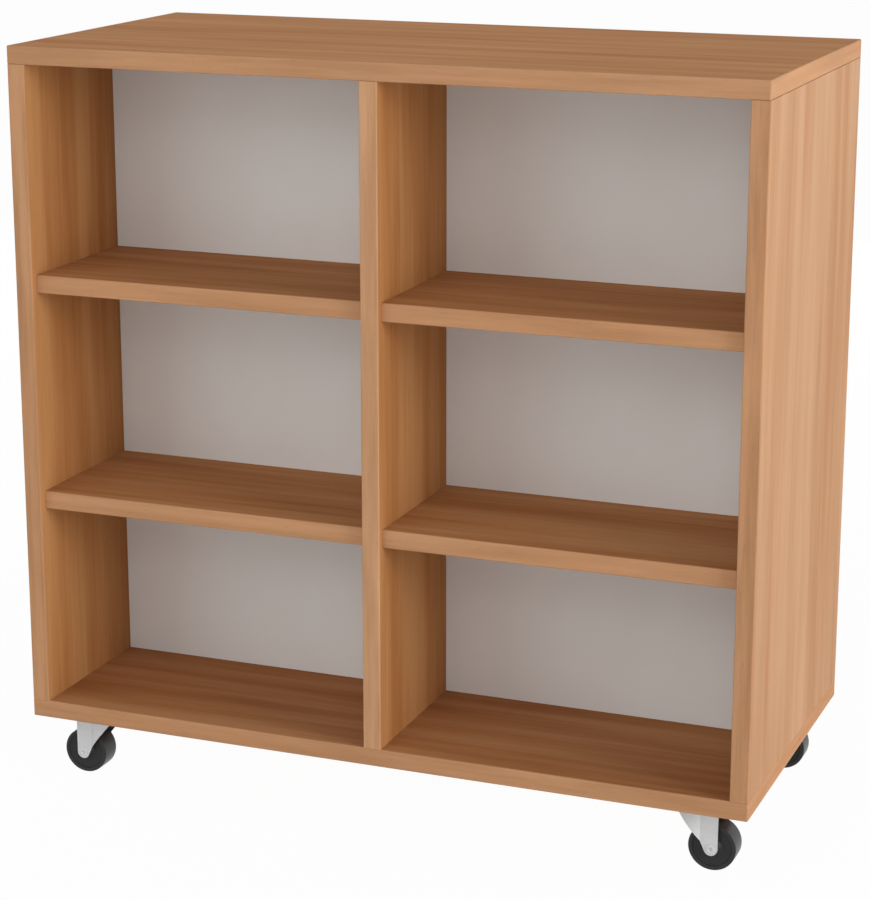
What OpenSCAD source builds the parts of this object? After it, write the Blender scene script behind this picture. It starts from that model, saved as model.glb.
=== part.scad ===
// Double-sided mobile shelving unit: two bays wide, three shelf spaces high on each face,
// with a thin partition at mid-depth, on four swivel castors.
// Origin on the floor under the middle, X to the right, Y to the rear, Z up.

/* [Cabinet] */
// Overall width
cabinet_w = 800; // [600:10:1200]
// Overall depth, both faces together
cabinet_d = 380; // [320:10:600]
// Height of the body above the castors
body_h = 728; // [640:1:1200]
// Thickness of the top, bottom, side and divider boards
board_t = 19; // [16:1:25]
// Thickness of the edge bands
band_t = 2; // [2:0.5:3]
// Rounding along the banded edges
edge_r = 1.25; // [0.5:0.25:1.75]

/* [Shelves] */
// Thickness of a shelf
shelf_t = 19; // [16:1:25]
// Distance from the open face to a shelf's front edge
shelf_setback = 9; // [0:1:30]
// Clear height of the lowest space
lower_clear = 216; // [160:1:260]
// Clear height of the middle space
middle_clear = 216; // [160:1:260]
// Gap at each end of a shelf
shelf_play = 0.2; // [0.1:0.05:0.3]

/* [Partition] */
// Thickness of the partition panels
partition_t = 3; // [2.5:0.5:6]
// Depth of the grooves that hold them
groove_depth = 6; // [3:1:7]
// Gap on each face of a panel in its groove
groove_gap = 0.1; // [0.05:0.05:0.3]
// Gap at a panel's upper and side edges
panel_play = 0.3; // [0.1:0.1:0.8]

/* [Dowels] */
// Diameter of the dowels
dowel_d = 8; // [6:1:10]
// Length of a carcass dowel
dowel_l = 35; // [30:1:50]
// Part of a dowel that sits in the face of a board
dowel_bite = 12; // [8:1:13]
// Distance of the outer dowel from a board's front or rear edge
dowel_edge = 40; // [25:1:50]
// Spacing of two dowels
dowel_pitch = 96; // [64:1:100]
// Radial gap round a dowel
dowel_gap = 0.05; // [0.02:0.01:0.1]

/* [Castor place] */
// Swivel axis to the side face
castor_inset_x = 67; // [55:1:100]
// Swivel axis to the front or rear face
castor_inset_y = 45; // [42:1:70]
// Floor to the underside of the bottom board
castor_h = 72; // [70:1:90]

/* [Castor plate] */
// Side of the square mounting plate
plate_w = 60; // [60:1:70]
// Thickness of the mounting plate
plate_t = 2.5; // [2:0.25:3]
// Corner radius of the mounting plate
plate_corner = 6; // [3:1:8]
// Radius of the pressed race, at its rim
dish_r = 16; // [15:0.5:17]
// Depth that the race is pressed down
dish_drop = 1.2; // [1:0.1:1.6]
// Spacing of the screw holes
screw_pitch = 48; // [47:0.5:50]
// Diameter of the screw holes
screw_hole_d = 5.5; // [5:0.1:6]

/* [Castor screws] */
// Diameter over the thread
screw_d = 4.4; // [3.5:0.1:4.8]
// Length under the head
screw_l = 16; // [12:1:16]
// Diameter of the head
screw_head_d = 8.4; // [7:0.2:9]
// Height of the head
screw_head_h = 2.4; // [1.8:0.2:2.6]
// Radial gap round the thread in the board
screw_gap = 0.05; // [0.02:0.01:0.1]

/* [Swivel] */
// Height of the gap between the plate's race and the fork
race_gap = 2.4; // [2:0.1:2.8]
// Diameter of a ball
ball_d = 4; // [3.5:0.1:4.2]
// Radius of the circle of balls
ball_circle_r = 11.5; // [10:0.25:12]
// Number of balls
ball_count = 14; // [8:1:15]
// Gap round a ball in its race
ball_gap = 0.15; // [0.1:0.05:0.2]
// Diameter of the king pin
king_d = 8; // [6:0.5:10]
// Diameter of the king pin's heads
king_head_d = 14; // [12:0.5:16]
// Height of the king pin's lower head
king_head_h = 2.6; // [2:0.1:3]
// Height of its riveted upper head
rivet_h = 0.9; // [0.5:0.1:0.9]
// Diameter of the swivel washer
washer_d = 18; // [16:0.5:20]
// Thickness of the swivel washer
washer_t = 1.2; // [0.8:0.1:1.6]
// Gap between the fork and the swivel washer
washer_gap = 0.3; // [0.2:0.05:0.5]
// Radial running gap of pins in their bores
run_gap = 0.05; // [0.02:0.01:0.09]

/* [Fork] */
// Thickness of the sheet
fork_t = 2; // [1.5:0.25:2.5]
// Horizontal distance from the swivel axis to the axle
trail = 23; // [20:0.5:26]
// Radius of the leg's rounded end
leg_r = 7; // [6:0.5:8]
// Gap between the wheel's face and a flat leg
leg_gap = 3.5; // [2:0.25:5]
// How far the round skirt stands out beyond the flat legs
skirt_over = 3.5; // [2.5:0.25:4.5]
// Height of the sloping edge at the crease, above the axle
crease_z = 8; // [5:0.5:10]
// Radius of the bend round the crown
bend_r = 3; // [2.25:0.25:4]
// Height of the rim at the back of the crown
rim_h = 4; // [4:0.5:8]
// Distance from the swivel axis back to the rim's front end
rim_x = 11; // [8:0.5:13]
// Width of the crown's front notch
notch_w = 22; // [14:1:24]
// Depth of the crown's front notch
notch_depth = 10; // [4:0.5:11]
// Corner radius of the notch
notch_r = 2; // [1:0.25:2.5]

/* [Wheel] */
// Diameter over the tyre
wheel_d = 50; // [44:1:52]
// Width of the wheel
wheel_w = 24; // [18:1:28]
// Thickness of the tyre
tyre_t = 4.5; // [3:0.5:6]
// Rounding of the tyre's shoulders
shoulder_r = 2; // [1:0.25:2.5]
// Distance that the core's face lies below the tyre's
face_inset = 0.6; // [0.4:0.1:1.5]
// Width of the rib that locks the tyre
rib_w = 8; // [4:1:12]
// Height of that rib
rib_h = 1; // [0.5:0.1:1.5]
// Diameter of the hub boss
hub_d = 16; // [14:0.5:20]
// Outer diameter of the bush
bush_d = 9; // [8:0.5:11]
// Gap between the hub and a fork leg
hub_gap = 0.3; // [0.2:0.05:0.5]
// Gap between parts that are pressed together
seat_gap = 0.02; // [0.01:0.01:0.03]
// Diameter of the axle rivet
axle_d = 6; // [5:0.25:7]
// Diameter of its riveted ends
axle_head_d = 9.6; // [8:0.2:11]
// Thickness of its riveted ends
axle_head_t = 0.8; // [0.6:0.1:1.4]
// Diameter of the dimple in each end
dimple_d = 4; // [2:0.2:5]
// Depth of that dimple
dimple_h = 1.4; // [0.6:0.1:2]

/* [Hidden] */
$fn = 64;
LEFT = -1;
RIGHT = 1;
FRONT = -1;
REAR = 1;

board_colour = [0.69, 0.49, 0.32];
band_colour = [0.73, 0.54, 0.38];
panel_colour = [0.86, 0.85, 0.84];
dowel_colour = [0.84, 0.72, 0.52];
steel_colour = [0.73, 0.74, 0.75];
ball_colour = [0.60, 0.61, 0.63];
core_colour = [0.20, 0.20, 0.20];
tyre_colour = [0.27, 0.27, 0.27];

// Cabinet heights, from the floor
body_z = castor_h;
side_z = body_z + board_t;
top_z = body_z + body_h - board_t;
side_h = top_z - side_z;
lower_shelf_z = side_z + lower_clear;
upper_shelf_z = lower_shelf_z + shelf_t + middle_clear;

// Plan of the bays
side_in_x = cabinet_w / 2 - board_t;
bay_w = side_in_x - board_t / 2;
bay_x = board_t / 2 + bay_w / 2;
shelf_face_y = cabinet_d / 2 - shelf_setback;
shelf_d = shelf_face_y - partition_t / 2;

// Dowels
dowel_r = dowel_d / 2;
dowel_hole_r = dowel_r + dowel_gap;
shelf_bite = dowel_l - dowel_bite;
carcass_dowel_y = [
    for (face = [FRONT, REAR], step = [0, 1])
        face * (cabinet_d / 2 - dowel_edge - step * dowel_pitch)
];
panel_x = [-cabinet_w / 2 + board_t / 2, 0, cabinet_w / 2 - board_t / 2];

// Castor heights, from the floor
axle_z = wheel_d / 2;
plate_z = castor_h - plate_t;
dish_z = plate_z - dish_drop;
ball_z = dish_z - race_gap / 2;
deck_top_z = dish_z - race_gap;
deck_z = deck_top_z - fork_t;
crown_z = deck_top_z - bend_r;
rim_z = deck_top_z - rim_h;
washer_z = deck_z - washer_gap - washer_t;
king_z = washer_z - king_head_h;

// Castor widths, each from the wheel's middle plane
leg_in_y = wheel_w / 2 + leg_gap;
leg_y = leg_in_y + fork_t;
hub_y = leg_in_y - hub_gap;
seat_r = wheel_d / 2 - tyre_t;

// Fork along the trail, from the swivel axis
skirt_r = leg_y + skirt_over;
crease_x = sqrt(skirt_r * skirt_r - leg_y * leg_y);
leg_front_x = trail + leg_r;

screw_hole_depth = screw_l - plate_t + 0.5;

// Flat shapes

// Rectangle about the origin with round corners
module rounded_rect(w, h, r) {
    square([w - 2 * r, h], center = true);
    square([w, h - 2 * r], center = true);
    for (x = [-1, 1], y = [-1, 1])
        translate([x * (w / 2 - r), y * (h / 2 - r)]) circle(r);
}

// Section of an edge band: glued side on the X axis, rounded side up
module band_section(t) {
    intersection() {
        translate([-t / 2, 0]) square([t, band_t]);
        translate([0, band_t - t / 2]) rounded_rect(t, t, edge_r);
    }
}

// Cabinet

// Slab with all its outer edges rounded, from z = 0 up
module eased_slab(w, d, t) {
    intersection() {
        linear_extrude(t) rounded_rect(w, d, edge_r);
        translate([0, d / 2, t / 2]) rotate([90, 0, 0])
            linear_extrude(d) rounded_rect(w, t, edge_r);
        translate([-w / 2, 0, t / 2]) rotate([90, 0, 90])
            linear_extrude(w) rounded_rect(d, t, edge_r);
    }
}

// Core of the top or bottom board, inside its edge band
module slab_core() {
    translate([-cabinet_w / 2 + band_t, -cabinet_d / 2 + band_t, 0])
        cube([cabinet_w - 2 * band_t, cabinet_d - 2 * band_t, board_t]);
}

// Groove for both partition panels, cut from z upwards
module slab_groove(z) {
    w = 2 * (side_in_x + groove_depth);
    t = partition_t + 2 * groove_gap;
    translate([-w / 2, -t / 2, z]) cube([w, t, groove_depth]);
}

module upright_dowels(z, r, l) {
    for (x = panel_x, y = carcass_dowel_y)
        translate([x, y, z]) cylinder(r = r, h = l);
}

module top_board() {
    color(board_colour) difference() {
        translate([0, 0, top_z]) slab_core();
        slab_groove(top_z);
        upright_dowels(top_z - 1, dowel_hole_r, dowel_bite + 1);
    }
}

module bottom_board() {
    color(board_colour) difference() {
        translate([0, 0, body_z]) slab_core();
        slab_groove(side_z - groove_depth);
        upright_dowels(side_z - dowel_bite, dowel_hole_r, dowel_bite + 1);
        at_each_castor() at_screws(body_z - 1)
            cylinder(r = screw_d / 2 + screw_gap, h = screw_hole_depth + 1);
    }
}

module slab_edge_band(z) {
    color(band_colour) translate([0, 0, z]) difference() {
        eased_slab(cabinet_w, cabinet_d, board_t);
        slab_core();
    }
}

// Upright board about x = 0, with its end holes
module upright_core() {
    difference() {
        translate([-board_t / 2, -cabinet_d / 2 + band_t, side_z])
            cube([board_t, cabinet_d - 2 * band_t, side_h]);
        for (y = carcass_dowel_y, z = [side_z - 1, top_z - shelf_bite])
            translate([0, y, z]) cylinder(r = dowel_hole_r, h = shelf_bite + 1);
    }
}

// Groove in the face of an upright board, on the side that dir gives
module upright_groove(dir) {
    t = partition_t + 2 * groove_gap;
    x = board_t / 2 - groove_depth;
    translate([dir > 0 ? x : -board_t / 2, -t / 2, side_z]) cube([groove_depth, t, side_h]);
}

// Places of the shelf dowels on an upright board
module at_shelf_dowels() {
    for (face = [FRONT, REAR], step = [0, 1], z = [lower_shelf_z, upper_shelf_z])
        translate([0, face * (shelf_face_y - dowel_edge - step * dowel_pitch), z + shelf_t / 2])
            children();
}

module side_board(side) {
    in_x = side * side_in_x;
    color(board_colour) difference() {
        translate([side * (side_in_x + board_t / 2), 0, 0]) difference() {
            upright_core();
            upright_groove(-side);
        }
        at_shelf_dowels() translate([in_x + side * (dowel_bite - 1) / 2, 0, 0])
            rotate([0, 90, 0]) cylinder(r = dowel_hole_r, h = dowel_bite + 1, center = true);
    }
}

module centre_divider() {
    color(board_colour) difference() {
        upright_core();
        upright_groove(LEFT);
        upright_groove(RIGHT);
        at_shelf_dowels() rotate([0, 90, 0])
            cylinder(r = dowel_hole_r, h = board_t + 2, center = true);
    }
}

module upright_edge_bands(x) {
    color(band_colour) for (face = [0, 180])
        rotate([0, 0, face]) translate([face == 0 ? x : -x, cabinet_d / 2 - band_t, side_z])
            linear_extrude(side_h) band_section(board_t);
}

module partition(side) {
    in_x = board_t / 2 - groove_depth + panel_play;
    out_x = side_in_x + groove_depth - panel_play;
    h = side_h + 2 * groove_depth - panel_play;
    color(panel_colour)
        translate([side > 0 ? in_x : -out_x, -partition_t / 2, side_z - groove_depth])
            cube([out_x - in_x, partition_t, h]);
}

// Shelf of one bay on one face, without its edge band
module shelf(face, side, z) {
    l = bay_w - 2 * shelf_play;
    d = shelf_d - band_t;
    hole_l = shelf_bite - shelf_play;
    color(board_colour) difference() {
        translate([side * bay_x - l / 2, face > 0 ? partition_t / 2 : -partition_t / 2 - d, z])
            cube([l, d, shelf_t]);
        for (end = [-1, 1], step = [0, 1])
            translate([
                side * bay_x + end * (l / 2 - (hole_l - 1) / 2),
                face * (shelf_face_y - dowel_edge - step * dowel_pitch),
                z + shelf_t / 2
            ])
                rotate([0, 90, 0]) cylinder(r = dowel_hole_r, h = hole_l + 1, center = true);
    }
}

module shelf_edge_bands() {
    l = bay_w - 2 * shelf_play;
    color(band_colour)
        for (face = [0, 180], side = [LEFT, RIGHT], z = [lower_shelf_z, upper_shelf_z])
            translate([side * bay_x, 0, z + shelf_t / 2]) rotate([0, 0, face])
                translate([-l / 2, shelf_face_y - band_t, 0]) rotate([0, 90, 0])
                    linear_extrude(l) band_section(shelf_t);
}

module carcass_dowels() {
    color(dowel_colour) {
        upright_dowels(side_z - dowel_bite, dowel_r, dowel_l);
        upright_dowels(top_z + dowel_bite - dowel_l, dowel_r, dowel_l);
    }
}

// Blind dowels at the sides, through dowels in the divider
module shelf_dowels() {
    mid = side_in_x + dowel_bite - dowel_l / 2;
    color(dowel_colour) at_shelf_dowels() {
        rotate([0, 90, 0])
            cylinder(r = dowel_r, h = board_t + 2 * shelf_bite, center = true);
        for (side = [LEFT, RIGHT])
            translate([side * mid, 0, 0]) rotate([0, 90, 0])
                cylinder(r = dowel_r, h = dowel_l, center = true);
    }
}

// Castors: each part is drawn about its swivel axis, with the axle on the +X side

// Moves a part to one castor, with the trail pointing outwards
module at_castor(face, side) {
    translate([side * (cabinet_w / 2 - castor_inset_x), face * (cabinet_d / 2 - castor_inset_y), 0])
        rotate([0, 0, side > 0 ? 0 : 180]) children();
}

module at_each_castor() {
    for (face = [FRONT, REAR], side = [LEFT, RIGHT])
        at_castor(face, side) children();
}

module at_screws(z) {
    for (x = [-1, 1], y = [-1, 1])
        translate([x * screw_pitch / 2, y * screw_pitch / 2, z]) children();
}

// Ring that the balls run in, as wide as they need
module race_groove() {
    translate([0, 0, ball_z]) rotate_extrude()
        translate([ball_circle_r, 0]) circle(ball_d / 2 + ball_gap);
}

// Dish shape with a sloping wall, from its rim down
module dish(r, rim_at_z, h) {
    translate([0, 0, rim_at_z - h]) cylinder(r1 = r - h, r2 = r, h = h);
}

module castor_plate(face, side) {
    color(steel_colour) at_castor(face, side) difference() {
        union() {
            translate([0, 0, plate_z])
                linear_extrude(plate_t) rounded_rect(plate_w, plate_w, plate_corner);
            dish(dish_r, plate_z, dish_drop);
        }
        dish(dish_r - 1, castor_h, dish_drop);
        race_groove();
        translate([0, 0, dish_z - 1])
            cylinder(r = king_d / 2 + seat_gap, h = castor_h);
        at_screws(plate_z - 1) cylinder(r = screw_hole_d / 2, h = plate_t + 2);
    }
}

// Screw with its head down and its cross recess below
module screw() {
    r = screw_d / 2;
    head_r = screw_head_d / 2;
    tip = 2 * r;
    slot = [screw_head_d * 0.55, screw_head_d * 0.12, screw_head_h * 1.2];
    difference() {
        rotate_extrude() polygon([
            [0, -screw_head_h], [head_r * 0.55, -screw_head_h], [head_r * 0.9, -screw_head_h * 0.65],
            [head_r, -screw_head_h * 0.25], [head_r, 0], [r, 0], [r, screw_l - tip], [0, screw_l]
        ]);
        for (turn = [0, 90])
            rotate([0, 0, turn]) translate([0, 0, -screw_head_h]) cube(slot, center = true);
    }
}

module castor_screws() {
    color(steel_colour) at_each_castor() at_screws(plate_z) screw();
}

module king_pins() {
    r = king_d / 2;
    head_r = king_head_d / 2;
    seat_z = castor_h - dish_drop;
    color(steel_colour) at_each_castor() rotate_extrude() polygon([
        [0, king_z], [head_r - 1.5, king_z], [head_r, king_z + 1.2], [head_r, washer_z],
        [r, washer_z], [r, seat_z], [head_r - 1, seat_z], [head_r - 1.8, seat_z + rivet_h],
        [0, seat_z + rivet_h]
    ]);
}

module swivel_washers() {
    color(steel_colour) at_each_castor() translate([0, 0, washer_z]) difference() {
        cylinder(d = washer_d, h = washer_t);
        translate([0, 0, -1]) cylinder(r = king_d / 2 + seat_gap, h = washer_t + 2);
    }
}

module swivel_balls() {
    color(ball_colour) at_each_castor()
        for (i = [0 : ball_count - 1])
            rotate([0, 0, i * 360 / ball_count]) translate([ball_circle_r, 0, ball_z])
                sphere(d = ball_d);
}

// Plan of the skirt: round about the swivel axis, with parallel legs that it meets in a crease
module skirt_plan(inset, front_x) {
    half = leg_y - inset;
    circle(skirt_r - inset);
    translate([0, -half]) square([front_x, 2 * half]);
}

// Half section of the crown out to r, with its round bend
module crown_section(r) {
    intersection() {
        translate([0, crown_z - 1]) square([r, bend_r + 1]);
        translate([0, deck_top_z - r]) rounded_rect(2 * r, 2 * r, bend_r);
    }
}

module crown() {
    rotate_extrude() crown_section(skirt_r);
    rotate([90, 0, 90]) linear_extrude(leg_front_x) {
        crown_section(leg_y);
        mirror([1, 0]) crown_section(leg_y);
    }
}

// Point where a line from p touches the circle about c, on the side away from the legs' front
function touch_point(p, c, r) =
    let (d = norm(c - p), a = atan2(c[1] - p[1], c[0] - p[0]) - asin(r / d))
    p + sqrt(d * d - r * r) * [cos(a), sin(a)];

// Side view of the fork above its axle: sloping edge and rim
module fork_outline() {
    axle = [trail, axle_z];
    crease = [crease_x, axle_z + crease_z];
    back_x = -skirt_r - 1;
    polygon([
        axle, touch_point(crease, axle, leg_r), crease, [-rim_x, rim_z], [back_x, rim_z],
        [back_x, deck_top_z], [leg_front_x, deck_top_z], [leg_front_x, axle_z]
    ]);
}

// Bent sheet of the fork, cut to its side view
module fork_sheet() {
    low_z = axle_z - leg_r;
    intersection() {
        difference() {
            union() {
                translate([0, 0, low_z]) linear_extrude(crown_z - low_z)
                    skirt_plan(0, leg_front_x);
                crown();
            }
            translate([0, 0, low_z - 1]) linear_extrude(deck_z - low_z + 1)
                skirt_plan(fork_t, leg_front_x + 1);
        }
        translate([0, skirt_r + 1, 0]) rotate([90, 0, 0])
            linear_extrude(2 * skirt_r + 2) fork_outline();
    }
}

module fork(face, side) {
    color(steel_colour) at_castor(face, side) difference() {
        union() {
            fork_sheet();
            for (y = [-leg_in_y, leg_y])
                translate([trail, y, axle_z]) rotate([90, 0, 0])
                    cylinder(r = leg_r, h = fork_t);
        }
        race_groove();
        translate([0, 0, deck_z - 1]) cylinder(r = king_d / 2 + run_gap, h = fork_t + 2);
        translate([leg_front_x, 0, deck_z - 1]) linear_extrude(fork_t + 2)
            rounded_rect(2 * notch_depth, notch_w, notch_r);
        translate([trail, 0, axle_z]) rotate([90, 0, 0])
            cylinder(r = axle_d / 2 + seat_gap, h = 2 * leg_y + 2, center = true);
    }
}

// Lays a turned part along the wheel's axis
module on_axle(face, side) {
    at_castor(face, side) translate([trail, 0, axle_z]) rotate([90, 0, 0]) children();
}

module axle(face, side) {
    r = axle_d / 2;
    head_r = axle_head_d / 2;
    end_y = leg_y + axle_head_t;
    half = [
        [0, end_y - dimple_h], [dimple_d / 2, end_y], [head_r - 1, end_y],
        [head_r, leg_y + 0.2], [head_r, leg_y], [r, leg_y]
    ];
    far_half = [for (i = [len(half) - 1 : -1 : 0]) [half[i][0], -half[i][1]]];
    color(steel_colour) on_axle(face, side) rotate_extrude() polygon(concat(half, far_half));
}

module bush(face, side) {
    color(core_colour) on_axle(face, side) difference() {
        cylinder(d = bush_d, h = 2 * hub_y, center = true);
        cylinder(r = axle_d / 2 + run_gap, h = 2 * hub_y + 2, center = true);
    }
}

// Core of the wheel: boss, flat faces and the rib under the tyre
module wheel_core(face, side) {
    bore_r = bush_d / 2 + seat_gap;
    hub_r = hub_d / 2;
    face_y = wheel_w / 2 - face_inset;
    lip = hub_y - face_y;
    half = [
        [seat_r + rib_h, rib_w / 2], [seat_r, rib_w / 2], [seat_r, face_y],
        [hub_r + lip / 2, face_y], [hub_r, hub_y], [bore_r, hub_y]
    ];
    far_half = [for (i = [len(half) - 1 : -1 : 0]) [half[i][0], -half[i][1]]];
    color(core_colour) on_axle(face, side) rotate_extrude() polygon(concat(half, far_half));
}

module tyre(face, side) {
    in_r = seat_r + seat_gap;
    color(tyre_colour) on_axle(face, side) rotate_extrude() difference() {
        intersection() {
            translate([in_r, -wheel_w / 2]) square([wheel_d / 2 - in_r, wheel_w]);
            rounded_rect(wheel_d, wheel_w, shoulder_r);
        }
        translate([0, -rib_w / 2 - seat_gap])
            square([in_r + rib_h, rib_w + 2 * seat_gap]);
    }
}

top_board();
bottom_board();
side_board(LEFT);  // left_side
side_board(RIGHT);  // right_side
centre_divider();
partition(LEFT);  // partition_left
partition(RIGHT);  // partition_right
shelf(FRONT, LEFT, lower_shelf_z);  // shelf_front_left_lower
shelf(FRONT, LEFT, upper_shelf_z);  // shelf_front_left_upper
shelf(FRONT, RIGHT, lower_shelf_z);  // shelf_front_right_lower
shelf(FRONT, RIGHT, upper_shelf_z);  // shelf_front_right_upper
shelf(REAR, LEFT, lower_shelf_z);  // shelf_rear_left_lower
shelf(REAR, LEFT, upper_shelf_z);  // shelf_rear_left_upper
shelf(REAR, RIGHT, lower_shelf_z);  // shelf_rear_right_lower
shelf(REAR, RIGHT, upper_shelf_z);  // shelf_rear_right_upper
slab_edge_band(top_z);  // top_edge_band
slab_edge_band(body_z);  // bottom_edge_band
upright_edge_bands(panel_x[0]);  // left_edge_bands
upright_edge_bands(panel_x[2]);  // right_edge_bands
upright_edge_bands(panel_x[1]);  // divider_edge_bands
shelf_edge_bands();
carcass_dowels();
shelf_dowels();
castor_plate(FRONT, LEFT);  // castor_plate_front_left
castor_plate(FRONT, RIGHT);  // castor_plate_front_right
castor_plate(REAR, LEFT);  // castor_plate_rear_left
castor_plate(REAR, RIGHT);  // castor_plate_rear_right
castor_screws();
king_pins();
swivel_washers();
swivel_balls();
fork(FRONT, LEFT);  // fork_front_left
fork(FRONT, RIGHT);  // fork_front_right
fork(REAR, LEFT);  // fork_rear_left
fork(REAR, RIGHT);  // fork_rear_right
axle(FRONT, LEFT);  // axle_front_left
axle(FRONT, RIGHT);  // axle_front_right
axle(REAR, LEFT);  // axle_rear_left
axle(REAR, RIGHT);  // axle_rear_right
bush(FRONT, LEFT);  // bush_front_left
bush(FRONT, RIGHT);  // bush_front_right
bush(REAR, LEFT);  // bush_rear_left
bush(REAR, RIGHT);  // bush_rear_right
wheel_core(FRONT, LEFT);  // wheel_core_front_left
wheel_core(FRONT, RIGHT);  // wheel_core_front_right
wheel_core(REAR, LEFT);  // wheel_core_rear_left
wheel_core(REAR, RIGHT);  // wheel_core_rear_right
tyre(FRONT, LEFT);  // tyre_front_left
tyre(FRONT, RIGHT);  // tyre_front_right
tyre(REAR, LEFT);  // tyre_rear_left
tyre(REAR, RIGHT);  // tyre_rear_right
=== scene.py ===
import math

import bmesh
import bpy
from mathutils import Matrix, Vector


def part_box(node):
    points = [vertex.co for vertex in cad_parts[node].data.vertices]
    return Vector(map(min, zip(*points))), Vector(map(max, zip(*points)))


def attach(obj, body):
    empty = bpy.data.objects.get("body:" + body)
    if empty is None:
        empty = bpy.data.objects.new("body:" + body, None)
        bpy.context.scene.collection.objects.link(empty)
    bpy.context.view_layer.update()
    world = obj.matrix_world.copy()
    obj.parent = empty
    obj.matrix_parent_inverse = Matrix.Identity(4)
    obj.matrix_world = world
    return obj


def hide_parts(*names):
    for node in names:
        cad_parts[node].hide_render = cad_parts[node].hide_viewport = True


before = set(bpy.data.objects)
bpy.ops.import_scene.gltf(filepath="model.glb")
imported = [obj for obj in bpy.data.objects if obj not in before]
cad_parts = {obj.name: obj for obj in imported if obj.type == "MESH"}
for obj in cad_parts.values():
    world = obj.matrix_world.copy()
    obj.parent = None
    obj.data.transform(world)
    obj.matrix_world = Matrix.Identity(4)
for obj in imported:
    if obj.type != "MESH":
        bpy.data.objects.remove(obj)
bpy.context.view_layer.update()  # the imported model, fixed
print("frame loaded:", len(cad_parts), "nodes")

corners = [(face, side) for face in ("front", "rear") for side in ("left", "right")]
near = 1e-6  # metres, points closer than this are one
white = (1.0, 1.0, 1.0, 1.0)


class Wire:  # a node's output that can be used in sums
    def __init__(self, finish, node, socket):
        self.finish = finish
        self.node = node
        self.socket = socket

    def out(self, name):
        return Wire(self.finish, self.node, self.node.outputs[name])

    def sum(self, operation, *parts):
        return self.finish.node("ShaderNodeMath", {"operation": operation}, dict(enumerate(parts)))

    def __add__(self, other):
        return self.sum("ADD", self, other)

    __radd__ = __add__

    def __sub__(self, other):
        return self.sum("SUBTRACT", self, other)

    def __rsub__(self, other):
        return self.sum("SUBTRACT", other, self)

    def __mul__(self, other):
        return self.sum("MULTIPLY", self, other)

    __rmul__ = __mul__

    def __gt__(self, other):
        return self.sum("GREATER_THAN", self, other)

    def __lt__(self, other):
        return self.sum("LESS_THAN", self, other)

    def __abs__(self):
        return self.sum("ABSOLUTE", self)

    def sign(self):
        return self.sum("SIGN", self)

    def larger(self, other):
        return self.sum("MAXIMUM", self, other)


class Finish:  # a node tree with one way to add nodes
    def __init__(self, tree):
        self.tree = tree
        self.tree.nodes.clear()

    def node(self, kind, settings=None, sockets=None, out=0):
        made = self.tree.nodes.new(kind)
        for key, value in (settings or {}).items():
            if key == "stops":
                stops = made.color_ramp.elements
                while len(stops) < len(value):
                    stops.new(0.5)
                for stop, (position, shade) in zip(stops, value):
                    stop.position = position
                    stop.color = (*shade, 1.0) if hasattr(shade, "__len__") else (shade, shade, shade, 1.0)
            else:
                setattr(made, key, value)
        for key, value in (sockets or {}).items():
            if isinstance(value, Wire):
                self.tree.links.new(value.socket, made.inputs[key])
            else:
                made.inputs[key].default_value = value
        return Wire(self, made, made.outputs[out] if made.outputs else None)

    def place(self):  # object coordinates, the same as the model's frame
        return self.node("ShaderNodeTexCoord", out="Object")

    def apart(self, vector):  # its X, Y and Z
        return self.node("ShaderNodeSeparateXYZ", {}, {"Vector": vector})

    def together(self, **parts):
        return self.node("ShaderNodeCombineXYZ", {}, parts)

    def moved(self, place, shift):
        return self.node("ShaderNodeVectorMath", {"operation": "ADD"}, {0: place, 1: shift})

    def scaled(self, place, scale, start):
        return self.node("ShaderNodeMapping", {}, {"Vector": place, "Scale": scale, "Location": start})

    def noise(self, place, scale, start=(0.0, 0.0, 0.0), detail=3.0, roughness=0.5):
        return self.node("ShaderNodeTexNoise", {}, {
            "Vector": self.scaled(place, scale, start), "Scale": 1.0, "Detail": detail,
            "Roughness": roughness, "Distortion": 0.0})

    def ramp(self, factor, stops):
        return self.node("ShaderNodeValToRGB", {"stops": stops}, {"Fac": factor})

    def mix(self, factor, first, second):
        return self.node("ShaderNodeMix", {"data_type": "RGBA"}, {0: factor, 6: first, 7: second}, out=2)

    def mixVectors(self, factor, first, second):
        return self.node("ShaderNodeMix", {"data_type": "VECTOR"}, {0: factor, 4: first, 5: second}, out=1)

    def bump(self, height, strength, distance):
        return self.node("ShaderNodeBump", {}, {
            "Height": height, "Strength": strength, "Distance": distance})

    def seen(self):  # 1 where the background is seen, directly, in a gloss or through glass
        rays = self.node("ShaderNodeLightPath")
        direct = rays.out("Is Camera Ray").larger(rays.out("Is Glossy Ray"))
        return direct.larger(rays.out("Is Transmission Ray"))

    def shader(self, **sockets):
        named = {key.replace("_", " "): value for key, value in sockets.items()}
        surface = self.node("ShaderNodeBsdfPrincipled", {}, named)
        self.node("ShaderNodeOutputMaterial", {}, {"Surface": surface})


def newFinish(name):
    material = bpy.data.materials.new(name)
    material.use_nodes = True
    return material, Finish(material.node_tree)


def lightness(colour, factor, warmth=0.0):  # a shade of a linear colour
    return tuple(c * factor * (1.0 + warmth * k) for c, k in zip(colour, (1.0, 0.0, -1.0)))


def opaque(colour):
    return (*colour, 1.0)


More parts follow.
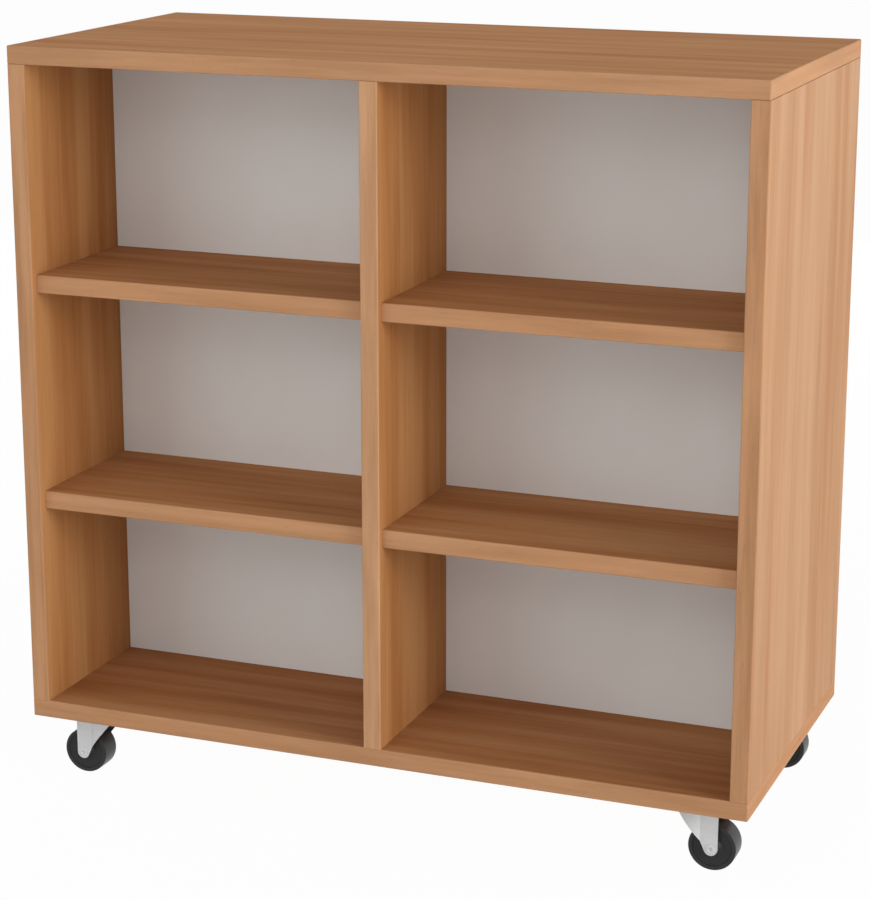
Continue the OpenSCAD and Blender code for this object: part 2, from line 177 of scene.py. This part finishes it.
beechLook = {
    # linear colour of each kind of face, then the contrast of its streaks; several kinds differ only as
    # painted light and shade
    "outside": ((0.516, 0.244, 0.101), 0.20),
    "inside": ((0.412, 0.186, 0.067), 0.22),    # the faces round the shelf spaces are painted a darker, warmer tone: painted shade
    # the shelves and the top board's underside are painted darker than its top face: painted shade
    "shelf": ((0.414, 0.193, 0.0772), 0.25),
    "floor": ((0.385, 0.172, 0.070), 0.27),     # the lowest shelf's face is painted the darkest: painted shade
    "side": ((0.438, 0.244, 0.134), 0.17),      # the two outer side faces are painted paler: painted light and sheen
    "edging": ((0.458, 0.240, 0.122), 0.12),
    "uprightEdging": ((0.438, 0.230, 0.117), 0.16),
    "dividerEdging": ((0.490, 0.272, 0.145), 0.15),
    "topEdging": ((0.452, 0.243, 0.127), 0.11),
    # noise per metre along and across the grain, its share of the tone, its detail and its start
    "patch": (2.6, 14.0, 0.5, 2.0, (7.3, 3.3)),
    "broad": (1.8, 27.0, 1.35, 3.0, (3.1, 8.3)),
    "band": (2.2, 55.0, 0.65, 2.0, (4.4, 6.8)),
    "fine": (3.6, 165.0, 0.36, 3.0, (5.9, 2.7)),
    "fibre": (26.0, 800.0, 0.35, 2.0, (0.3, 6.2)),
    "fleck": (110.0, 1100.0, 0.30, 1.0, (9.4, 1.8)),    # the share is how dark the flecks show
    "noiseRoughness": 0.55,
    "drift": (1.3, 5.0, 1.0, (1.7, 4.1)),   # noise that bends the streaks: along, across, detail, start
    "wander": 0.016,            # how far they bend to both sides together, metres
    "toneEnds": (0.22, 0.78),   # noise at which a streak is darkest and palest
    "warmth": 0.43,             # how much redder the dark streaks are
    "redPatch": (0.97, 0.08),   # lightness and warmth of the redder patches
    "blush": (1.6, 0.2),        # how fast the redder patches set in, and how far they reach
    "fleckEnds": (0.66, 0.74),  # noise at which a fleck begins and is full
    "fleckShade": (0.62, 0.08),
    "relief": 0.00004,
    "reliefShares": (0.6, 0.4),     # fibres, fine streaks
    "reliefStrength": 0.35,
    "roughness": 0.70,
    "roughnessSpan": 0.14,
    "gloss": 0.05,
}

edgingLook = dict(
    beechLook, wander=0.004, warmth=0.2, blush=(0.8, 0.2),
    patch=(6.0, 30.0, 0.3, 2.0, (7.3, 3.3)), broad=(4.5, 60.0, 1.1, 3.0, (3.1, 8.3)),
    band=(6.0, 100.0, 0.4, 2.0, (4.4, 6.8)), fine=(9.0, 160.0, 0.9, 3.0, (5.9, 2.7)))


def alongGrain(axis, along, across):
    return tuple(along if a == axis else across for a in "XYZ")


def streaks(f, tone, patch, look, tint):
    colour, contrast = look[tint]
    darkest, palest = look["toneEnds"]
    warmer = look["warmth"] * contrast
    redLightness, redness = look["redPatch"]
    onset, reach = look["blush"]
    shade = f.ramp(tone, [
        (darkest, lightness(colour, 1.0 - contrast, warmer)), (0.5, colour),
        (palest, lightness(colour, 1.0 + contrast, -warmer))])
    redder = f.ramp(tone, [
        (darkest, lightness(colour, redLightness - contrast, redness + warmer)),
        (palest, lightness(colour, redLightness + contrast, redness - warmer))])
    return f.mix((patch - 0.5) * onset + reach, shade, redder)


def beech(name, tint, grain, look=beechLook, offset=0.0, endGrainFrom=None, outer=None):
    material, f = newFinish(name)
    place = f.place()
    point = f.apart(place)
    if endGrainFrom:  # past this half width the strip runs along Y
        turnedPlace = f.together(X=point.out("Y"), Y=point.out("X"), Z=point.out("Z"))
        place = f.mixVectors(abs(point.out("X")) > endGrainFrom, place, turnedPlace)
    along, across, detail, start = look["drift"]
    drift = f.noise(place, alongGrain(grain, along, across), (offset, *start), detail)
    shift = (drift - 0.5) * look["wander"]
    place = f.moved(place, f.together(**{axis: shift for axis in "XYZ" if axis != grain}))
    layers, tone = {}, 0.5
    for key in ("patch", "broad", "band", "fine", "fibre", "fleck"):
        along, across, share, detail, start = look[key]
        layers[key] = f.noise(
            place, alongGrain(grain, along, across), (offset, *start), detail, look["noiseRoughness"])
        if key != "fleck":
            tone = (layers[key] - 0.5) * share + tone
    shade = streaks(f, tone, layers["patch"], look, tint)
    if outer:  # below, above or beyond these the face is an outer one; inner and outer faces get tints that paint light and shade apart
        below, above, beyond, outerTint = outer
        height = point.out("Z")
        outward = (height < below) + (height > above) + (abs(point.out("X")) > beyond)
        shade = f.mix(outward, shade, streaks(f, tone, layers["patch"], look, outerTint))
    begins, full = look["fleckEnds"]
    spots = f.ramp(layers["fleck"], [(begins, 0.0), (full, 1.0)])
    fleckColour = opaque(lightness(look[tint][0], *look["fleckShade"]))
    shade = f.mix(spots * look["fleck"][2], shade, fleckColour)
    fibreShare, fineShare = look["reliefShares"]
    relief = layers["fibre"] * fibreShare + layers["fine"] * fineShare
    rough = (layers["fibre"] - 0.5) * look["roughnessSpan"] + look["roughness"]
    f.shader(Base_Color=shade, Roughness=rough, Specular_IOR_Level=look["gloss"],
             Normal=f.bump(relief, look["reliefStrength"], look["relief"]))
    return material


panelLook = {
    "colour": (0.812, 0.824, 0.813), "cloud": 7.0, "grain": 700.0,
    "dark": (0.965, 0.012), "pale": (1.02, -0.006),     # lightness and warmth
    "speck": (0.35, 0.12, 0.8),     # noise at which specks begin, how strong they grow, their lightness
    "roughness": 0.7, "roughnessSpan": 0.1, "gloss": 0.05, "relief": 0.00003, "reliefStrength": 0.3}


def laminate(name, look=panelLook):  # thin partition board with a matt white face
    material, f = newFinish(name)
    place = f.place()
    cloud = f.noise(place, (look["cloud"],) * 3)
    grain = f.noise(place, (look["grain"],) * 3, detail=2.0)
    shade = f.ramp(cloud, [
        (0.3, lightness(look["colour"], *look["dark"])), (0.7, lightness(look["colour"], *look["pale"]))])
    begins, growth, speckLightness = look["speck"]
    shade = f.mix((grain - begins) * growth, shade, opaque(lightness(look["colour"], speckLightness)))
    rough = (cloud - 0.5) * look["roughnessSpan"] + look["roughness"]
    f.shader(Base_Color=shade, Roughness=rough, Specular_IOR_Level=look["gloss"],
             Normal=f.bump(grain, look["reliefStrength"], look["relief"]))
    return material


dowelLook = {"dark": (0.50, 0.37, 0.20), "pale": (0.64, 0.50, 0.30), "fibre": 260.0, "roughness": 0.5,
             "roughnessSpan": 0.2, "relief": 0.0001, "reliefStrength": 0.4}


def dowelWood(name, look=dowelLook):
    material, f = newFinish(name)
    fibre = f.noise(f.place(), (look["fibre"],) * 3)
    shade = f.ramp(fibre, [(0.3, look["dark"]), (0.7, look["pale"])])
    f.shader(Base_Color=shade, Roughness=fibre * look["roughnessSpan"] + look["roughness"],
             Normal=f.bump(fibre, look["reliefStrength"], look["relief"]))
    return material


steelLook = {
    "colour": (0.55, 0.55, 0.55), "metal": 0.35, "cloud": 90.0, "cloudRoughness": 0.6, "grain": 1500.0,
    "rolled": 0.06,     # how much the grain is stretched upwards
    "shares": (0.6, 0.4),   # cloud and grain in the tone
    "dark": (0.92, 0.0), "pale": (1.07, -0.01), "roughness": 0.45, "roughnessSpan": 0.08,
    "relief": 0.00001, "reliefStrength": 0.2,
    "paintedShade": 0.05,    # lightness of the painted shade on a fork's inner faces, standing in for the shadow inside it
    "pivots": (0.333, 0.145)}   # where the forks turn, from the middle of the unit
ballLook = dict(steelLook, roughness=0.25)


def facesPivot(f, place, pivots):  # 1 on a fork's inner faces, which look towards the pin that it turns on; the mask of the painted shade
    normal = f.apart(f.node("ShaderNodeTexCoord", out="Normal"))
    point = f.apart(place)
    outward = 0.0
    for axis, pivot in zip("XY", pivots):
        away = point.out(axis) - point.out(axis).sign() * pivot
        outward = away * normal.out(axis) + outward
    return outward < 0.0


def platedSteel(name, look=steelLook, paintedShadeInside=False):  # zinc plating: soft cloud, fine grain; a fork also gets painted shade on its inner faces
    material, f = newFinish(name)
    place = f.place()
    cloud = f.noise(place, (look["cloud"],) * 3, roughness=look["cloudRoughness"])
    grain = f.noise(place, (look["grain"], look["grain"], look["grain"] * look["rolled"]), detail=2.0)
    cloudShare, grainShare = look["shares"]
    shade = f.ramp(cloud * cloudShare + grain * grainShare, [
        (0.3, lightness(look["colour"], *look["dark"])), (0.7, lightness(look["colour"], *look["pale"]))])
    if paintedShadeInside:
        # the fork's inner faces are painted near black: a painted shade for the shadow inside the fork
        paintedShadeColour = opaque(lightness(look["colour"], look["paintedShade"]))
        shade = f.mix(facesPivot(f, place, look["pivots"]), shade, paintedShadeColour)
    span = look["roughnessSpan"]
    rough = (cloud - 0.5) * span + (grain - 0.5) * span + look["roughness"]
    f.shader(Base_Color=shade, Metallic=look["metal"], Roughness=rough,
             Normal=f.bump(grain, look["reliefStrength"], look["relief"]))
    return material


coreLook = {"colour": (0.019, 0.019, 0.019), "dark": 0.88, "pale": 1.14, "cloud": 90.0, "grain": 1400.0,
            "roughness": 0.50, "roughnessSpans": (0.12, 0.08), "gloss": 0.22, "relief": 0.00002,
            "reliefStrength": 0.35}
tyreLook = dict(coreLook, roughness=0.34, gloss=0.28, grain=1800.0)


def wheelPlastic(name, look):  # moulded, with a fine spark-eroded grain
    material, f = newFinish(name)
    place = f.place()
    cloud = f.noise(place, (look["cloud"],) * 3)
    grain = f.noise(place, (look["grain"],) * 3, detail=2.0)
    shade = f.ramp(cloud, [
        (0.3, lightness(look["colour"], look["dark"])), (0.7, lightness(look["colour"], look["pale"]))])
    cloudSpan, grainSpan = look["roughnessSpans"]
    rough = (cloud - 0.5) * cloudSpan + (grain - 0.5) * grainSpan + look["roughness"]
    f.shader(Base_Color=shade, Roughness=rough, Specular_IOR_Level=look["gloss"],
             Normal=f.bump(grain, look["reliefStrength"], look["relief"]))
    return material


# the heights and the half width past which a board's face is an outer one, and that face's tint; inner and
# outer faces are tinted apart as painted light and shade
boardFaces = {"lying": (0.0725, 0.7995, 0.5, "outside"), "lowest": (0.0725, 1.0, 0.5, "outside"),
              "upright": (0.0, 1.0, 0.3995, "side")}
cornerAt = 0.398  # past this half width the strip round a board runs from front to rear

finishes = {
    "boardX": beech("beechTopAndShelves", "shelf", "X", outer=boardFaces["lying"]),
    "boardLow": beech("beechBottomBoard", "floor", "X", offset=3.9, outer=boardFaces["lowest"]),
    "boardZ": beech("beechUprights", "inside", "Z", offset=2.6, outer=boardFaces["upright"]),
    "edgeX": beech("beechEdgingLengthwise", "edging", "X", edgingLook, 5.2),
    "edgeTop": beech("beechEdgingTop", "topEdging", "X", edgingLook, 12.1, endGrainFrom=cornerAt),
    "edgeLow": beech("beechEdgingBottom", "edging", "X", edgingLook, 7.7, endGrainFrom=cornerAt),
    "edgeZ": beech("beechEdgingUpright", "uprightEdging", "Z", edgingLook, 9.5),
    "edgeMiddle": beech("beechEdgingDivider", "dividerEdging", "Z", edgingLook, 14.3),
    "panel": laminate("whitePartition"),
    "dowel": dowelWood("dowelWood"),
    "zinc": platedSteel("zincPlatedSteel"),
    "fork": platedSteel("zincPlatedFork", paintedShadeInside=True),
    "ball": platedSteel("bearingSteel", ballLook),
    "core": wheelPlastic("wheelCorePlastic", coreLook),
    "tyre": wheelPlastic("tyreRubber", tyreLook),
}
print("materials made:", len(finishes))

finishByName = [  # the first start of a node's name that fits decides
    ("left_side", "boardZ"), ("right_side", "boardZ"), ("centre_divider", "boardZ"),
    ("top_edge_band", "edgeTop"), ("bottom_edge_band", "edgeLow"), ("bottom_board", "boardLow"),
    ("shelf_edge_bands", "edgeX"), ("divider_edge_bands", "edgeMiddle"),
    ("left_edge_bands", "edgeZ"), ("right_edge_bands", "edgeZ"), ("partition", "panel"),
    ("carcass_dowels", "dowel"), ("shelf_dowels", "dowel"),
    ("tyre", "tyre"), ("wheel_core", "core"), ("bush", "core"), ("swivel_balls", "ball"), ("fork", "fork"),
    ("castor", "zinc"), ("king", "zinc"), ("swivel", "zinc"), ("axle", "zinc"),
    ("top_board", "boardX"), ("shelf", "boardX"),
]


def finishOf(node):
    return finishes[next(key for start, key in finishByName if node.startswith(start))]


for name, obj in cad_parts.items():
    for place in obj.material_slots:
        place.material = finishOf(name)


def finishPiece(bm, name, material, body, replaced, sharp=40.0):
    bmesh.ops.remove_doubles(bm, verts=bm.verts, dist=near)
    bmesh.ops.recalc_face_normals(bm, faces=bm.faces)
    mesh = bpy.data.meshes.new(name)
    bm.to_mesh(mesh)
    bm.free()
    mesh.polygons.foreach_set("use_smooth", [True] * len(mesh.polygons))
    mesh.set_sharp_from_angle(angle=math.radians(sharp))
    mesh.materials.append(material)
    piece = bpy.data.objects.new(name, mesh)
    bpy.context.scene.collection.objects.link(piece)
    even = piece.modifiers.new("evenShading", "WEIGHTED_NORMAL")  # large faces stay flat by their rounding
    even.keep_sharp = True
    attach(piece, body)
    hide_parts(*replaced)
    return piece


def blockIn(bm, low, high):  # a block between two corners
    size = [h - l for l, h in zip(low, high)]
    middle = [(h + l) / 2 for l, h in zip(low, high)]
    made = bmesh.ops.create_cube(bm, size=1.0)
    bmesh.ops.scale(bm, vec=size, verts=made["verts"])
    bmesh.ops.translate(bm, vec=middle, verts=made["verts"])
    return made["verts"]


edging = {"thickness": 0.002, "rounding": 0.00125, "segments": 5,
          "flatArea": 0.1}  # only a board's top and underside are larger, square metres


def roundEdges(bm, edges):
    bmesh.ops.bevel(bm, geom=edges, offset=edging["rounding"], affect="EDGES",
                    segments=edging["segments"], profile=0.5, material=-1)


def slabEdging(node, piece):  # one strip round a board, its outer edges rounded
    low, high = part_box(node)
    bm = bmesh.new()
    blockIn(bm, low, high)
    roundEdges(bm, bm.edges[:])
    flat = [face for face in bm.faces if face.calc_area() > edging["flatArea"]]
    bmesh.ops.inset_region(bm, faces=flat, thickness=edging["thickness"] - edging["rounding"],
                           use_even_offset=True)
    rims = [edge for face in flat for edge in face.edges]
    bmesh.ops.delete(bm, geom=flat, context="FACES_ONLY")
    bmesh.ops.bridge_loops(bm, edges=rims)
    return finishPiece(bm, piece, finishOf(node), "cabinet", [node])


def strip(bm, low, high, front):  # a straight strip, rounded along its two open edges
    verts = blockIn(bm, low, high)
    openY = low[1] if front else high[1]
    run = max(range(3), key=lambda a: high[a] - low[a])
    roundEdges(bm, [edge for edge in bm.edges if all(
        vert in verts and abs(vert.co.y - openY) < near for vert in edge.verts)
        and abs(edge.verts[0].co[run] - edge.verts[1].co[run]) > near])


def uprightEdging(node, piece):
    low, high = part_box(node)
    bm = bmesh.new()
    strip(bm, low, (high.x, low.y + edging["thickness"], high.z), True)
    strip(bm, (low.x, high.y - edging["thickness"], low.z), high, False)
    return finishPiece(bm, piece, finishOf(node), "cabinet", [node])


def shelfEdging(node, piece):
    bm = bmesh.new()
    for face, side in corners:
        for level in ("lower", "upper"):
            low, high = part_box(f"shelf_{face}_{side}_{level}")
            if face == "front":
                strip(bm, (low.x, low.y - edging["thickness"], low.z), (high.x, low.y, high.z), True)
            else:
                strip(bm, (low.x, high.y, low.z), (high.x, high.y + edging["thickness"], high.z), False)
    return finishPiece(bm, piece, finishOf(node), "cabinet", [node])


slabEdging("top_edge_band", "topEdging")
slabEdging("bottom_edge_band", "bottomEdging")
uprightEdging("left_edge_bands", "leftEdging")
uprightEdging("right_edge_bands", "rightEdging")
uprightEdging("divider_edge_bands", "dividerEdging")
shelfEdging("shelf_edge_bands", "shelfEdging")
print("edging made")

ringNear = 2e-5  # metres, how far a ring's points may lie from its stated place


def turned(profile, centre, steps, rounds, closed):  # a profile of radius and width, spun about the axle
    bm = bmesh.new()
    verts = [bm.verts.new((centre.x + radius, centre.y + across, centre.z)) for radius, across in profile]
    edges = [bm.edges.new(pair) for pair in zip(verts, verts[1:] + (verts[:1] if closed else []))]
    bmesh.ops.spin(bm, geom=verts + edges, cent=centre, axis=(0.0, 1.0, 0.0), angle=math.tau,
                   steps=steps, use_merge=True)
    bmesh.ops.remove_doubles(bm, verts=bm.verts, dist=near)
    bmesh.ops.recalc_face_normals(bm, faces=bm.faces)
    for radius, across, offset, segments in rounds:  # one ring at a time
        ring = [edge for edge in bm.edges if all(
            abs(math.hypot(v.co.x - centre.x, v.co.z - centre.z) - radius) < ringNear
            and abs(v.co.y - centre.y - across) < ringNear for v in edge.verts)]
        bmesh.ops.bevel(bm, geom=ring, offset=offset, affect="EDGES", segments=segments, profile=0.5,
                        material=-1)
    return bm


def mirrored(half):  # the same profile on the wheel's other face, back to the start
    return half + [(radius, -across) for radius, across in reversed(half)]


def onBothFaces(radius, across, rounding):
    return [(radius, side * across, *rounding) for side in (1, -1)]


wheel = {"steps": 96, "sharp": 50.0}

tyre = {"seat": 0.02052, "rib": 0.00402, "ribDepth": 0.001, "crown": 0.00015, "crownFrom": 0.4,
        "shoulder": (0.0009, 6), "lip": (0.0003, 3)}  # a rounding is its size and its segments


def tyrePiece(corner):
    node = "tyre_" + corner
    low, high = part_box(node)
    centre = (low + high) / 2
    radius, half = (high.z - low.z) / 2, (high.y - low.y) / 2
    edge = radius - tyre["crown"]
    profile = [(tyre["seat"] + tyre["ribDepth"], tyre["rib"]), (tyre["seat"], tyre["rib"]),
               (tyre["seat"], half), (edge, half), (radius, half * tyre["crownFrom"])]
    rounds = onBothFaces(edge, half, tyre["shoulder"]) + onBothFaces(tyre["seat"], half, tyre["lip"])
    bm = turned(mirrored(profile), centre, wheel["steps"], rounds, True)
    return finishPiece(bm, "tyre." + corner, finishes["tyre"], "wheel_" + corner, [node],
                       wheel["sharp"])


core = {"bore": 0.00452, "hub": 0.008, "hubFoot": 0.0099, "seat": 0.0205, "rib": 0.004, "ribRadius": 0.0215,
        "faceBelow": 0.0006,    # how far the core's face lies behind the tyre's
        "seatRound": (0.0003, 2), "footRound": (0.0010, 4), "hubRound": (0.0006, 3)}


def corePiece(corner):
    node = "wheel_core_" + corner
    low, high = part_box(node)
    tyreLow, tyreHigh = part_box("tyre_" + corner)
    centre = (low + high) / 2
    hub = (high.y - low.y) / 2
    face = (tyreHigh.y - tyreLow.y) / 2 - core["faceBelow"]
    profile = [(core["ribRadius"], core["rib"]), (core["seat"], core["rib"]), (core["seat"], face),
               (core["hubFoot"], face), (core["hub"], hub), (core["bore"], hub)]
    rounds = onBothFaces(core["seat"], face, core["seatRound"])
    rounds += onBothFaces(core["hubFoot"], face, core["footRound"])
    rounds += onBothFaces(core["hub"], hub, core["hubRound"])
    bm = turned(mirrored(profile), centre, wheel["steps"], rounds, True)
    return finishPiece(bm, "wheelCore." + corner, finishes["core"], "wheel_" + corner, [node],
                       wheel["sharp"])


rivet = {"steps": 48, "shank": 0.003, "headThickness": 0.0008, "rim": 0.0005, "chamfer": 0.0014,
         "dimple": 0.002, "dimpleFoot": 0.0012, "dimpleDepth": 0.0014, "dimpleRound": (0.0002, 2),
         "headRound": (0.0006, 3)}


def rivetPiece(corner):
    node = "axle_" + corner
    low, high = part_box(node)
    centre = (low + high) / 2
    head, end = (high.z - low.z) / 2, (high.y - low.y) / 2
    seat = end - rivet["headThickness"]
    flat = head - rivet["chamfer"]
    foot = end - rivet["dimpleDepth"]
    profile = [(0.0, foot), (rivet["dimpleFoot"], foot), (rivet["dimple"], end), (flat, end),
               (head, seat + rivet["rim"]), (head, seat), (rivet["shank"], seat)]
    rounds = onBothFaces(rivet["dimple"], end, rivet["dimpleRound"])
    rounds += onBothFaces(flat, end, rivet["headRound"])
    bm = turned(mirrored(profile), centre, rivet["steps"], rounds, False)
    return finishPiece(bm, "axleRivet." + corner, finishes["zinc"], "swivel_" + corner, [node])


for face, side in corners:
    tyrePiece(f"{face}_{side}")
    corePiece(f"{face}_{side}")
    rivetPiece(f"{face}_{side}")
print("wheels and axles made")


room = {"floorRadius": 40.0, "floorSides": 96, "floorBelow": 0.0002, "floorColour": (0.80, 0.80, 0.80, 1.0),
        "whiteShare": 0.970,    # of the floor, the rest shows the shadow
        "ambient": 0.38, "backdrop": 0.983}


def makeFloor():
    bm = bmesh.new()
    bmesh.ops.create_circle(bm, cap_ends=True, segments=room["floorSides"], radius=room["floorRadius"])
    bmesh.ops.translate(bm, vec=(0.0, 0.0, -room["floorBelow"]), verts=bm.verts)
    mesh = bpy.data.meshes.new("floor")
    bm.to_mesh(mesh)
    bm.free()
    material, f = newFinish("paleFloor")
    lit = f.node("ShaderNodeBsdfDiffuse", {}, {"Color": room["floorColour"]})
    bright = f.node("ShaderNodeEmission", {}, {"Color": white, "Strength": 1.0})
    mixed = f.node("ShaderNodeMixShader", {}, {0: f.seen() * room["whiteShare"], 1: lit, 2: bright})
    f.node("ShaderNodeOutputMaterial", {}, {"Surface": mixed})
    mesh.materials.append(material)
    floor = bpy.data.objects.new("floor", mesh)
    bpy.context.scene.collection.objects.link(floor)


def makeSky():
    world = bpy.data.worlds.new("studio")
    bpy.context.scene.world = world
    world.use_nodes = True
    f = Finish(world.node_tree)
    soft = f.node("ShaderNodeBackground", {}, {"Color": white, "Strength": room["ambient"]})
    backdrop = f.node("ShaderNodeBackground", {}, {"Color": white, "Strength": room["backdrop"]})
    mixed = f.node("ShaderNodeMixShader", {}, {0: f.seen(), 1: soft, 2: backdrop})
    f.node("ShaderNodeOutputWorld", {}, {"Surface": mixed})


lamps = {
    "highLamp": {"at": (0.3, -2.9, 2.9), "size": (2.4, 2.4), "watts": 22.0},
    "frontLamp": {"at": (0.3, -3.4, 0.9), "size": (2.4, 2.4), "watts": 11.5},
    "leftLamp": {"at": (-2.2, -2.8, 1.6), "size": (2.4, 2.4), "watts": 25.0},
    "rightLamp": {"at": (5.1, -1.3, 1.2), "size": (3.0, 3.0), "watts": 255.0},
    "backLamp": {"at": (-0.5, 3.3, 0.4), "size": (2.6, 0.7), "watts": 46.0},  # lower than the unit's top
    "backLeftLamp": {"at": (-3.2, 0.9, 0.4), "size": (2.4, 0.7), "watts": 50.0},
}
lampAim = Vector((0.0, 0.0, 0.42))


def makeLamps():
    for name, lamp in lamps.items():
        data = bpy.data.lights.new(name, "AREA")
        data.shape = "RECTANGLE"
        data.size, data.size_y = lamp["size"]
        data.energy = lamp["watts"]
        obj = bpy.data.objects.new(name, data)
        obj.location = lamp["at"]
        obj.rotation_euler = (lampAim - Vector(lamp["at"])).to_track_quat("-Z", "Y").to_euler()
        obj.visible_camera = False
        bpy.context.scene.collection.objects.link(obj)


view = {
    "at": (0.9660, -2.4730, 1.0832),
    "towards": (-0.35329, 0.90110, -0.25140),
    "lens": 102.289,
    "sensor": 36.0,
    "shiftY": -0.03,  # lifts the lens axis, as the photograph's framing needs
    "sees": (0.05, 200.0),
}


def makeCamera():
    data = bpy.data.cameras.new("camera")
    data.sensor_width = view["sensor"]
    data.lens = view["lens"]
    data.shift_y = view["shiftY"]
    data.clip_start, data.clip_end = view["sees"]
    camera = bpy.data.objects.new("camera", data)
    camera.location = view["at"]
    camera.rotation_euler = Vector(view["towards"]).to_track_quat("-Z", "Y").to_euler()
    bpy.context.scene.collection.objects.link(camera)
    bpy.context.scene.camera = camera


makeFloor()
makeSky()
makeLamps()
makeCamera()
bpy.context.scene.view_settings.view_transform = "Standard"
print("room, lamps and camera made")
